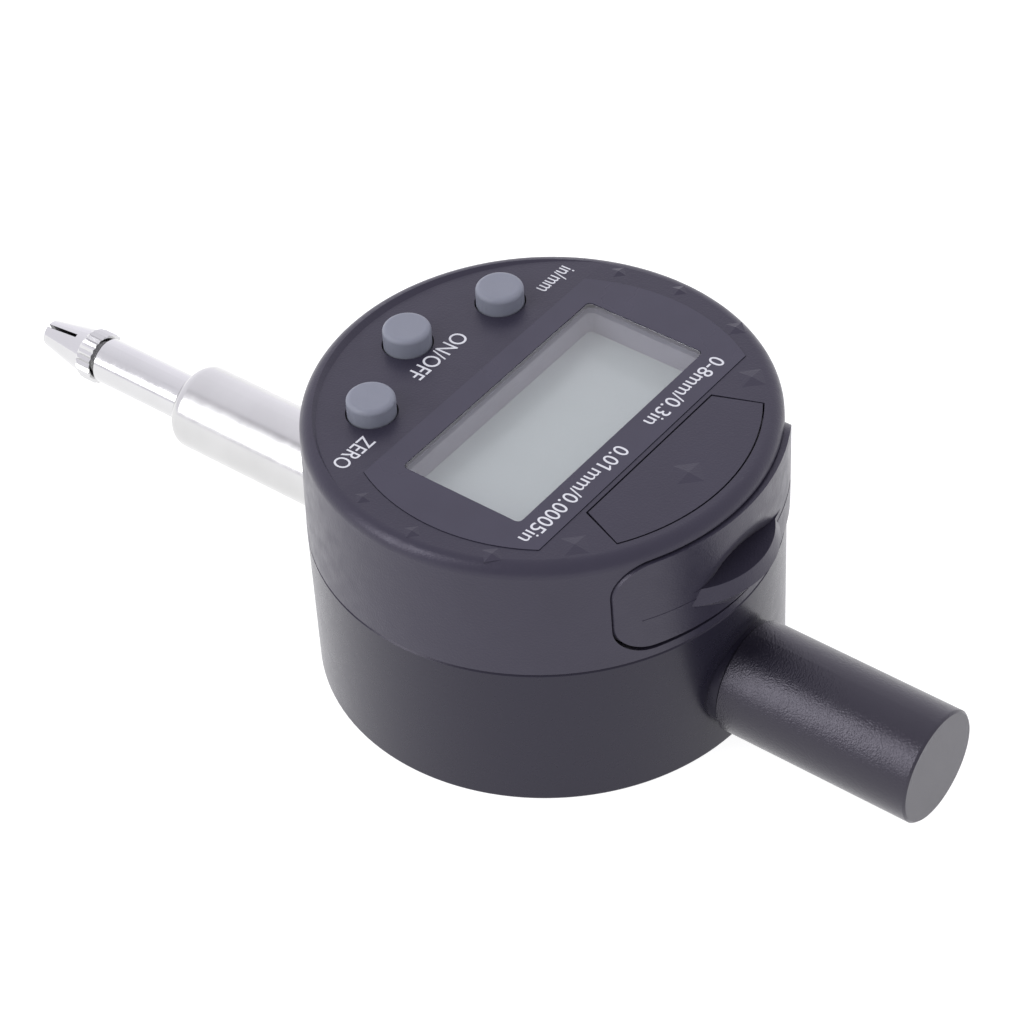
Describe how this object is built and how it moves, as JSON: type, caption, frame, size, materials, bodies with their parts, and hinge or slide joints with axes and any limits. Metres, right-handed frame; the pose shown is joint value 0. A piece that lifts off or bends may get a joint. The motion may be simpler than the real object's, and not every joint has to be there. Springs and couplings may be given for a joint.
{
  "type": "digital dial indicator",
  "caption": "Round digital plunger indicator with a display, push keys, a pull-out battery drawer, a clamping stem and a spring-loaded measuring spindle.",
  "frame": {"origin": "centre of the flat back face, on the housing's round axis", "axes": "+Z out of the display face, +Y towards the tube over the spindle's rear end, so the stem and spindle point along -Y, +X completes the right-handed frame; the instrument lies on its back"},
  "size_m": [0.041, 0.0987, 0.0279],
  "materials": {
    "front_plastic": "fine moulded grain",
    "body_black": "smooth satin black",
    "tube_black": "fine blasted satin black",
    "label_black": "printed film, semi-matt",
    "window_clear": "clear",
    "lcd_glass": "light green-grey display",
    "frame_grey": "moulded",
    "button_grey": "soft blue-grey",
    "board_green": "solder-masked laminate",
    "chip_black": "moulded epoxy",
    "plunger_white": "moulded",
    "rubber_black": "matt",
    "bay_black": "moulded",
    "cell_steel": "bright stamped can",
    "contact_steel": "plated strip",
    "screw_steel": "dark zinc",
    "stem_steel": "satin ground",
    "spindle_steel": "polished ground",
    "bush_brass": "turned",
    "carrier_alloy": "milled",
    "scale_laminate": "etched laminate",
    "spring_steel": "drawn wire",
    "flex_amber": "polyimide strip"
  },
  "bodies": {
    "casing": {"front_housing": "front_plastic", "name_plate": "front_plastic", "back_housing": "body_black", "back_cover": "body_black", "cap_adapter": "body_black", "spindle_cap": "tube_black", "face_label": "label_black", "window_lens": "window_clear", "lcd_panel": "lcd_glass", "lcd_frame": "frame_grey", "lcd_contact_strip": "rubber_black", "lcd_backing_pad": "rubber_black", "end_buffer": "rubber_black", "switch_bodies": "chip_black", "controller_chip": "chip_black", "main_board": "board_green", "sensor_board": "board_green", "board_screws": "screw_steel", "case_screws": "screw_steel", "sensor_screws": "screw_steel", "spring_anchor": "screw_steel", "return_spring": "spring_steel", "flex_cable": "flex_amber", "battery_bay": "bay_black", "battery_contact_top": "contact_steel", "battery_contact_rear": "contact_steel", "stem": "stem_steel", "front_bush": "bush_brass", "rear_bush": "bush_brass"},
    "spindle_set": {"spindle": "spindle_steel", "contact_point": "spindle_steel", "retaining_ring": "spring_steel", "scale_carrier": "carrier_alloy", "carrier_set_screws": "screw_steel", "guide_pin": "screw_steel", "spring_pin": "screw_steel", "encoder_scale": "scale_laminate"},
    "drawer": {"battery_drawer": "front_plastic", "coin_cell": "cell_steel"},
    "key_in_mm": {"button_in_mm": "button_grey", "switch_plunger_in_mm": "plunger_white"},
    "key_on_off": {"button_on_off": "button_grey", "switch_plunger_on_off": "plunger_white"},
    "key_zero": {"button_zero": "button_grey", "switch_plunger_zero": "plunger_white"}
  },
  "joints": [
    {"name": "spindle_slide", "type": "slide", "parent": "casing", "child": "spindle_set", "axis": [0, 1, 0], "range_m": [0, 0.008], "stiffness_N_per_m": 50, "springref_m": -0.02, "deforming": ["return_spring"]},
    {"name": "drawer_slide", "type": "slide", "parent": "casing", "child": "drawer", "axis": [0, 1, 0], "range_m": [0, 0.022]},
    {"name": "press_in_mm", "type": "slide", "parent": "casing", "child": "key_in_mm", "axis": [0, 0, -1], "range_m": [0, 0.0005], "stiffness_N_per_m": 400, "springref_m": -0.002},
    {"name": "press_on_off", "type": "slide", "parent": "casing", "child": "key_on_off", "axis": [0, 0, -1], "range_m": [0, 0.0005], "stiffness_N_per_m": 400, "springref_m": -0.002},
    {"name": "press_zero", "type": "slide", "parent": "casing", "child": "key_zero", "axis": [0, 0, -1], "range_m": [0, 0.0005], "stiffness_N_per_m": 400, "springref_m": -0.002}
  ]
}
